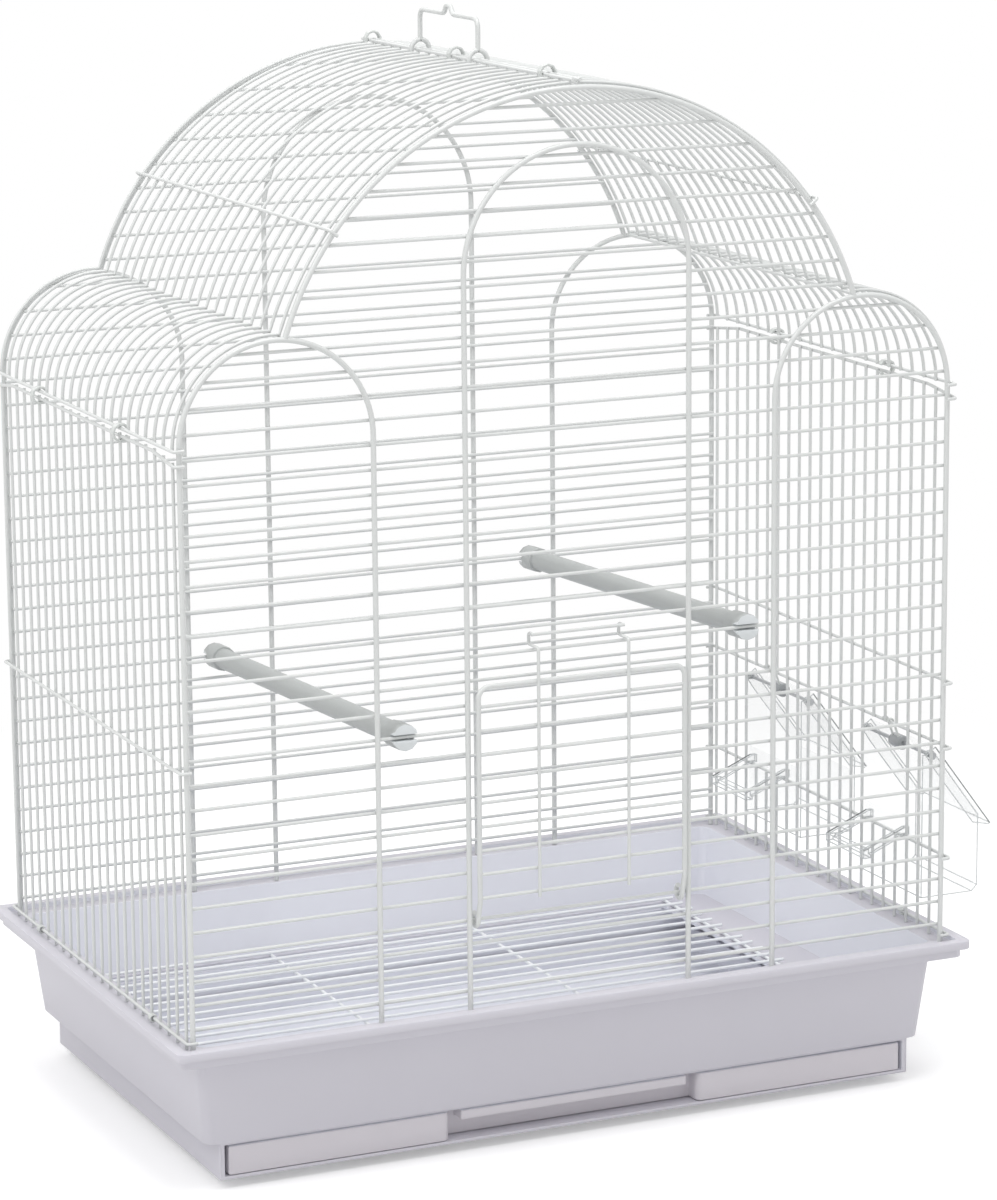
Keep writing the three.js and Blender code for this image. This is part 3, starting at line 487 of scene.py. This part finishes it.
def roof_runs(side):
    """side is -1 for the left half and 1 for the right one. Each wire goes up over the small arch,
    into the valley and over the big arch to the ridge."""
    x, rise = valley(ROOF_BIG_R, ROOF_SMALL_R)
    small_end = math.atan2(rise, x - SMALL_X)
    shell = arc((SMALL_X, SPRING_Z), ROOF_SMALL_R, 0, small_end, ROOF_SMALL_STEPS)
    ridge_angle = math.acos(RIDGE_X / ROOF_BIG_R)
    dome = arc((0, SPRING_Z), ROOF_BIG_R, math.atan2(rise, x), ridge_angle, ROOF_BIG_STEPS)
    line = shell + dome[1:]
    runs = [
        (BAR_R, [at(side * px, wire_y(index), pz) for px, pz in line]) for index in range(SIDE_WIRES)
    ]
    out = (math.cos(MID_ROOF_ANGLE), math.sin(MID_ROOF_ANGLE))
    mid = ROOF_BIG_R + RAIL_OUT
    inside_z = SPRING_Z + rise - RAIL_OUT
    end_y = wire_y(SIDE_WIRES - 1) + BAR_R
    ridge_y = DEPTH / 2
    runs += [
        hooked_rail(side * RAIL_X, SPRING_Z + ROOF_RAIL_LIFT, (-side, 0)),
        hooked_rail(side * mid * out[0], SPRING_Z + mid * out[1], (-side * out[0], -out[1])),
        (BAR_R, [at(side * x, -end_y, inside_z), at(side * x, end_y, inside_z)]),
        (BAR_R, [at(side * RIDGE_X, -ridge_y, RIDGE_Z), at(side * RIDGE_X, ridge_y, RIDGE_Z)]),
    ]
    return runs


wires("roof_wirework_left", roof_runs(-1), "roof_left", "cage")
wires("roof_wirework_right", roof_runs(1), "roof_right", "cage")

# Front door
BAR_Y = BAR_IN - DEPTH / 2
DOOR_Y = -DEPTH / 2 - DOOR_STAND_OFF


def upright(x, pairs):
    """Pairs of y and z as places in the upright plane at x."""
    return [at(x, py, pz) for py, pz in pairs]


def door_frame():
    """The bent wire round the door, with a loop round the hinge bar at each foot."""
    hinge_z = bar_z(HINGE_BAR)
    top = bar_z(DOOR_TOP_BAR) - DOOR_TOP_DROP
    loop = arc((BAR_Y, hinge_z), LOOP_R, math.pi, LOOP_END, LOOP_STEPS)
    leg = [(DOOR_Y, hinge_z + LOOP_RISE)] + loop
    centre = (DOOR_HALF - DOOR_CORNER, top - DOOR_CORNER)
    corner = arc(centre, DOOR_CORNER, 0, math.pi / 2, CORNER_STEPS)
    bow = [at(px, DOOR_Y, pz) for px, pz in corner] + [at(-px, DOOR_Y, pz) for px, pz in corner[::-1]]
    return (DOOR_R, upright(DOOR_HALF, leg)[::-1] + bow + upright(-DOOR_HALF, leg))


def latch_runs():
    """Two latch wires that hook over a bar, and the finger bar that joins them."""
    latch_y = DOOR_Y - RAIL_OUT
    hook_z = bar_z(LATCH_BAR) + 2 * BAR_R + 2 * FIT
    inner_y = BAR_Y + LATCH_REACH
    finger_z = hook_z + LATCH_RISE
    finger_y = inner_y - LATCH_RETURN
    hook = [
        (latch_y, bar_z(HINGE_BAR + 1) - LATCH_TAIL),
        (latch_y, hook_z),
        (inner_y, hook_z),
        (inner_y, finger_z),
        (finger_y, finger_z),
    ]
    runs = [(BAR_R, rounded(upright(x, hook), LATCH_BEND)) for x in (-LATCH_HALF, LATCH_HALF)]
    finger = LATCH_HALF + BAR_R
    runs.append((BAR_R, [at(-finger, finger_y, finger_z), at(finger, finger_y, finger_z)]))
    return runs


def door_bars():
    heights = [bar_z(index) for index in range(HINGE_BAR + 1, DOOR_TOP_BAR)]
    return [(BAR_R, [at(-DOOR_HALF, DOOR_Y, z), at(DOOR_HALF, DOOR_Y, z)]) for z in heights]


wires("door_wirework", [door_frame()] + door_bars() + latch_runs(), "front_door", "door")


# Carry handle
def handle_runs():
    """The bail with its kink, and an eye at each end round both ridge wires."""
    handle_low, handle_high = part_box("carry_handle")
    mid_y = (handle_low.y + handle_high.y) / 2
    leg_y = HANDLE_SPAN * PITCH / 2
    top = RIDGE_Z + HANDLE_HEIGHT
    half = [
        (leg_y, RIDGE_Z + EYE_R),
        (leg_y, top),
        (KINK_HALF, top),
        (KINK_HALF / 2, top + KINK_HEIGHT),
    ]
    points = [at(0, mid_y + y, z) for y, z in half] + [at(0, mid_y - y, z) for y, z in half[::-1]]
    opening = math.pi / 2
    ring = arc((0, RIDGE_Z), EYE_R, opening + EYE_GAP, opening + 2 * math.pi - EYE_GAP, EYE_STEPS)
    runs = [(HANDLE_R, rounded(points, HANDLE_BEND))]
    runs += [(HANDLE_R, [at(px, mid_y + s * leg_y, pz) for px, pz in ring]) for s in (-1, 1)]
    return runs


wires("handle_wire", handle_runs(), "carry_handle", "handle")


# Floor grate
def grate_runs():
    """The long wires over their cross wires."""
    grate_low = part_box("floor_grate")[0]
    cross_z = grate_low.z + BAR_R
    wire_z = cross_z + RAIL_OUT
    rear = (GRATE_WIRES - 1) * PITCH / 2
    reach = rear + GRATE_OVERHANG
    ends = (GRATE_SHIFT - GRATE_LENGTH / 2, GRATE_SHIFT + GRATE_LENGTH / 2)
    runs = []
    for index in range(GRATE_WIRES):
        y = index * PITCH - rear
        runs.append((BAR_R, [at(ends[0], y, wire_z), at(ends[1], y, wire_z)]))
    for index in range(GRATE_CROSS):
        x = GRATE_SHIFT + (index - (GRATE_CROSS - 1) / 2) * GRATE_CROSS_PITCH
        runs.append((BAR_R, [at(x, -reach, cross_z), at(x, reach, cross_z)]))
    return runs


# The grate takes the lighter coat, with its painted highlight
wires("grate_wirework", grate_runs(), "floor_grate", "grate", grate_coat_painted_light)


# Feeder rods, knobs and prongs
def turned(name, profile, place, body, look):
    """A piece turned about a line along Y. The profile is distance from the line against place on it."""
    made = bmesh.new()
    turns = [2 * math.pi * i / TURNED_STEPS for i in range(TURNED_STEPS)]
    rings = []
    for radius, along in profile:
        places = [Vector((radius * math.cos(t), along, radius * math.sin(t))) for t in turns]
        rings.append([made.verts.new(point) for point in places])
    for first, second in zip(rings, rings[1:]):
        for i in range(TURNED_STEPS):
            j = (i + 1) % TURNED_STEPS
            made.faces.new((first[i], second[i], second[j], first[j]))
    made.faces.new(rings[0])
    made.faces.new(rings[-1][::-1])
    mesh = bpy.data.meshes.new(name)
    made.to_mesh(mesh)
    made.free()
    mesh.materials.append(look)
    mesh.polygons.foreach_set("use_smooth", [True] * len(mesh.polygons))
    mesh.set_sharp_from_angle(angle=SHARP)
    return add_piece(name, mesh, body, place)


def mirrored(profile):
    """The profile's mirror image, for the other end."""
    return [(radius, -along) for radius, along in profile[::-1]]


def rod_profile(half):
    """A rod with a round head at each end, whose half length is given."""
    neck = half - ROD_HEAD_LENGTH
    rim = ROD_HEAD_R - ROD_HEAD_EDGE
    end = [
        (ROD_R, neck),
        (rim, neck),
        (ROD_HEAD_R, neck + ROD_HEAD_EDGE),
        (ROD_HEAD_R, half - ROD_HEAD_EDGE),
        (rim, half),
    ]
    return mirrored(end) + end


def knob_profile():
    """A drum with rounded rims."""
    shoulder = KNOB_EDGE * KNOB_EDGE_SHARE
    half = [
        (KNOB_R, 0),
        (KNOB_R, KNOB_HALF - KNOB_EDGE),
        (KNOB_R - shoulder, KNOB_HALF - shoulder),
        (KNOB_R - KNOB_EDGE, KNOB_HALF),
    ]
    return mirrored(half[1:]) + half


def feeder_metal(end):
    """The rod of one feeder, the two prongs that hook over the rail, and the knob on the rod."""
    body = "feeder_" + end
    rod_node = "feeder_rod_" + end
    clip_node = "feeder_clip_" + end
    rod_low, rod_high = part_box(rod_node)
    pivot = (rod_low + rod_high) / 2
    profile = rod_profile((rod_high.y - rod_low.y) / 2)
    rod = turned(rod_node + "_turned", profile, pivot, body, rod_metal)
    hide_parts(rod_node)
    foot = (pivot.x - MID_X - ROD_R, pivot.z + ROD_R)
    hook = [foot] + arc((RAIL_X, UPPER_RAIL_Z), PRONG_TURN, 0, PRONG_ARC, PRONG_STEPS)
    prongs = [
        (PRONG_R, [at(px, pivot.y + side * PRONG_SPREAD, pz) for px, pz in hook]) for side in (-1, 1)
    ]
    wires(clip_node + "_prongs", prongs, clip_node, body, clip_coat)
    knob = turned(clip_node + "_knob", knob_profile(), pivot, body, knob_grey)
    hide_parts(clip_node)


for end in ("front", "rear"):
    feeder_metal(end)


# Moulded and bent pieces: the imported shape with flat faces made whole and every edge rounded
def merged(mesh):
    """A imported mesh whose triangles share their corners."""
    made = bmesh.new()
    made.from_mesh(mesh)
    bmesh.ops.remove_doubles(made, verts=made.verts, dist=MERGE_DISTANCE)
    return made


def round_blocks(made, node):
    """Rounds the ends of the tray's two front blocks, where they meet the recess between them. Those
    are the upright edges higher than BLOCK_HEIGHT, further than TRAY_END from the tray's own ends."""
    low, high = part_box(node)
    bmesh.ops.dissolve_limit(made, angle_limit=FLAT_ANGLE, verts=made.verts, edges=made.edges)
    ends = [
        edge
        for edge in made.edges
        if all(vert.co.y < low.y + FRONT_TOLERANCE for vert in edge.verts)
        and all(low.x + TRAY_END < vert.co.x < high.x - TRAY_END for vert in edge.verts)
        and abs(edge.verts[0].co.z - edge.verts[1].co.z) > BLOCK_HEIGHT
    ]
    bmesh.ops.bevel(
        made,
        geom=ends,
        offset=BLOCK_ROUND,
        offset_type="OFFSET",
        segments=BLOCK_STEPS,
        profile=BLOCK_PROFILE,
        affect="EDGES",
    )


def dressed(node, look, edge_width):
    """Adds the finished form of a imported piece, and gives its mesh."""
    mesh = frame["nodes"][node].data.copy()
    made = merged(mesh)
    if node == "slide_out_tray":
        round_blocks(made, node)
    made.to_mesh(mesh)
    made.free()
    mesh.materials.clear()
    mesh.materials.append(look)
    mesh.polygons.foreach_set("material_index", [0] * len(mesh.polygons))
    mesh.polygons.foreach_set("use_smooth", [True] * len(mesh.polygons))
    piece = add_piece(node + "_finished", mesh, body_of[node])
    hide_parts(node)
    flat = piece.modifiers.new("flat_faces", "DECIMATE")
    flat.decimate_type = "DISSOLVE"
    flat.angle_limit = FLAT_ANGLE
    flat.delimit = {"MATERIAL"}
    edge = piece.modifiers.new("edges", "BEVEL")
    edge.width = edge_width
    edge.segments = EDGE_STEPS
    edge.limit_method = "ANGLE"
    edge.angle_limit = ROUNDED_ANGLE
    edge.harden_normals = True
    return mesh


def paint_inside_light(mesh, node):
    """Paints the inside of the tub and of the tray paler than the outside, and the tray's upward faces
    too: painted light, for the overhead light that fills them.
    """
    mesh.materials.append(inside_painted_light)
    low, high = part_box(node)
    middle = (low + high) / 2
    for face in mesh.polygons:
        reach = face.center - middle
        faces_in = face.normal.x * reach.x < 0 or face.normal.y * reach.y < 0
        # The tray's upward faces get the painted light too, for the light from above
        up = node == "slide_out_tray" and face.normal.z > FACES_UP
        inside = face.center.z > low.z + INSIDE_MARGIN and face.center.y >= low.y + FASCIA_DEPTH
        if (faces_in or up) and inside:
            face.material_index = 1


def paint_caps(mesh):
    """Makes the caps at both ends of a perch paler and glossier."""
    mesh.materials.append(cap_grey)
    ys = [vert.co.y for vert in mesh.vertices]
    for face in mesh.polygons:
        places = [mesh.vertices[i].co.y for i in face.vertices]
        if max(places) < min(ys) + CAP_LENGTH or min(places) > max(ys) - CAP_LENGTH:
            face.material_index = 1


looks = {
    "base_plastic": plastic,
    "foot_plastic": foot_grey_painted_light,
    "clear_plastic": clear,
    "perch_plastic": perch_grey,
    "clip_steel": clip_coat,
}
for node, slot in subparts:
    if slot not in looks or node.startswith("feeder_clip"):
        continue
    look = tray_plastic if node == "slide_out_tray" else looks[slot]
    widths = [width for start, width in EDGE_ROUND.items() if node.startswith(start)]
    mesh = dressed(node, look, widths[0] if widths else SMALL_EDGE)
    # The insides get the paler plastic, painted light for the overhead light
    if slot == "base_plastic":
        paint_inside_light(mesh, node)
    if slot == "perch_plastic":
        paint_caps(mesh)


# Clear pieces get fine painted lines along their moulded edges, for the sheen and shade that clear
# plastic shows there. The upper edges of the landing perches' arms and of the hoods' cheeks get the
# darkest painted shade, where the plastic is seen edge on
def lines_piece(name, node, edges, radius, look):
    """Fine painted lines along a clear piece's edges, just inside its outermost faces, for the sheen and
    shade seen there.
    """
    low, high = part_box(node)

    def held(place):
        return [min(max(c, a + radius), b - radius) for c, a, b in zip(place, low, high)]

    runs = [(radius, [held(place) for place in edge]) for edge in edges]
    add_piece(name, round_curve(name, runs, look, LINE_ROUNDNESS, False), body_of[node])


def sharp_edges(node):
    """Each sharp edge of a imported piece, as its two ends."""
    solid = merged(frame["nodes"][node].data)
    edges = [
        (edge.verts[0].co.copy(), edge.verts[1].co.copy())
        for edge in solid.edges
        if len(edge.link_faces) == 2 and edge.calc_face_angle() > SHARP
    ]
    solid.free()
    return edges


def on_side(place, sides):
    """Whether a place lies in one of the upright planes at these depths."""
    return min(abs(place.y - side) for side in sides) < SIDE_TOLERANCE


def slanted(edge):
    """Whether an edge runs both across and upwards."""
    start, end = edge
    return abs(start.x - end.x) > SLANT_ACROSS and abs(start.z - end.z) > SLANT_UP


def top_slant(edges, side):
    """The highest of the slanted edges that lie in one side of a piece."""
    found = [edge for edge in edges if slanted(edge) and all(on_side(end, (side,)) for end in edge)]
    return max(found, key=lambda ends: ends[0].z + ends[1].z)


def edge_lines(node):
    """Cups and hoods get painted lines on the edges of their two cheeks, and landing perches on all of
    theirs. Hoods and landing perches also get a darker painted line of shade along the highest slanted
    edge of a side.
    """
    low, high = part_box(node)
    sides = (low.y, high.y)
    edges = sharp_edges(node)
    if not node.startswith("landing_perch"):
        edges = [edge for edge in edges if all(on_side(end, sides) for end in edge)]
    lines_piece(node + "_edges", node, edges, EDGE_LINE_R, painted_sheen_edge)
    if node.startswith("feeder_cup"):
        return
    dark_sides = sides[:1] if node.startswith("feeder_hood") else sides
    darkest = [top_slant(edges, side) for side in dark_sides]
    lines_piece(node + "_dark_edges", node, darkest, DARK_LINE_R, painted_shade_edge)


for node, slot in subparts:
    if slot == "clear_plastic":
        edge_lines(node)


# Floor, light and camera
def maths(nodes, operation):
    """A node that works out one sum."""
    made = nodes.new("ShaderNodeMath")
    made.operation = operation
    return made


def seen_rays(nodes, links):
    """1 where the eye, a reflection or a look through clear plastic meets the surface, else 0."""
    rays = nodes.new("ShaderNodeLightPath")
    seen = None
    for kind in ("Is Camera Ray", "Is Glossy Ray", "Is Transmission Ray"):
        most = maths(nodes, "MAXIMUM")
        links.new(rays.outputs[kind], most.inputs[0])
        if seen:
            links.new(seen, most.inputs[1])
        else:
            most.inputs[1].default_value = 0
        seen = most.outputs["Value"]
    return seen


def floor_material():
    """Near the cage the floor takes its shadow, and further out it fades to plain white."""
    made = bpy.data.materials.new("floor_white")
    made.use_nodes = True
    nodes, links = made.node_tree.nodes, made.node_tree.links
    seen = seen_rays(nodes, links)
    matt = nodes["Principled BSDF"]
    matt.inputs["Base Color"].default_value = (FLOOR_GREY, FLOOR_GREY, FLOOR_GREY, 1)
    matt.inputs["Roughness"].default_value = FLOOR_ROUGH

    lift = maths(nodes, "MULTIPLY")
    lift.inputs[1].default_value = FLOOR_LIFT
    links.new(seen, lift.inputs[0])
    glow = nodes.new("ShaderNodeEmission")
    links.new(lift.outputs["Value"], glow.inputs["Strength"])
    near = nodes.new("ShaderNodeAddShader")
    links.new(matt.outputs["BSDF"], near.inputs[0])
    links.new(glow.outputs["Emission"], near.inputs[1])

    place = nodes.new("ShaderNodeTexCoord")
    distance = nodes.new("ShaderNodeVectorMath")
    distance.operation = "LENGTH"
    links.new(place.outputs["Object"], distance.inputs[0])
    fade = nodes.new("ShaderNodeMapRange")
    fade.interpolation_type = "SMOOTHSTEP"
    fade.inputs["From Min"].default_value = FADE_START
    fade.inputs["From Max"].default_value = FADE_END
    links.new(distance.outputs["Value"], fade.inputs["Value"])
    share = maths(nodes, "MULTIPLY")
    links.new(fade.outputs["Result"], share.inputs[0])
    links.new(seen, share.inputs[1])

    white = nodes.new("ShaderNodeEmission")
    white.inputs["Strength"].default_value = 1
    blend = nodes.new("ShaderNodeMixShader")
    links.new(share.outputs["Value"], blend.inputs["Fac"])
    links.new(near.outputs["Shader"], blend.inputs[1])
    links.new(white.outputs["Emission"], blend.inputs[2])
    links.new(blend.outputs["Shader"], nodes["Material Output"].inputs["Surface"])
    return made


def lamp(name, place, energy, size):
    """A square lamp that faces the middle of the cage."""
    light = bpy.data.lights.new(name, "AREA")
    light.energy = energy
    light.size = size
    made = bpy.data.objects.new(name, light)
    made.location = place
    made.rotation_euler = (LAMP_TARGET - Vector(place)).to_track_quat("-Z", "Y").to_euler()
    bpy.context.scene.collection.objects.link(made)


bpy.ops.mesh.primitive_plane_add(size=FLOOR_SIZE, location=(0, 0, 0))
floor = bpy.context.object
floor.name = "floor"
floor.data.materials.append(floor_material())

world = bpy.data.worlds.new("studio")
bpy.context.scene.world = world
world.use_nodes = True
world_nodes, world_links = world.node_tree.nodes, world.node_tree.links
room = world_nodes["Background"]
room.inputs["Color"].default_value = (1, 1, 1, 1)
level = world_nodes.new("ShaderNodeMapRange")
level.inputs["To Min"].default_value = ROOM_LIGHT
level.inputs["To Max"].default_value = ROOM_SEEN
world_links.new(seen_rays(world_nodes, world_links), level.inputs["Value"])
world_links.new(level.outputs["Result"], room.inputs["Strength"])

lamp("key", (-1.9, -0.7, 2.2), energy=20, size=1.6)
lamp("above", (0.1, -0.7, 2.7), energy=26, size=1.4)
lamp("back", (0.4, 1.9, 2.2), energy=8, size=1.8)

camera_data = bpy.data.cameras.new("photo_camera")
camera_data.sensor_fit = "AUTO"
camera_data.sensor_width = SENSOR
camera_data.lens = CAMERA_FOCAL_SHARE * SENSOR
camera = bpy.data.objects.new("photo_camera", camera_data)
turn = (
    Matrix.Rotation(-CAMERA_YAW, 4, "Z")
    @ Matrix.Rotation(math.pi / 2 - CAMERA_DOWN, 4, "X")
    @ Matrix.Rotation(CAMERA_ROLL, 4, "Z")
)
camera.matrix_world = Matrix.Translation(at(*CAMERA_AT)) @ turn
bpy.context.scene.collection.objects.link(camera)
bpy.context.scene.camera = camera
bpy.context.scene.view_settings.view_transform = "Standard"

bpy.context.view_layer.update()
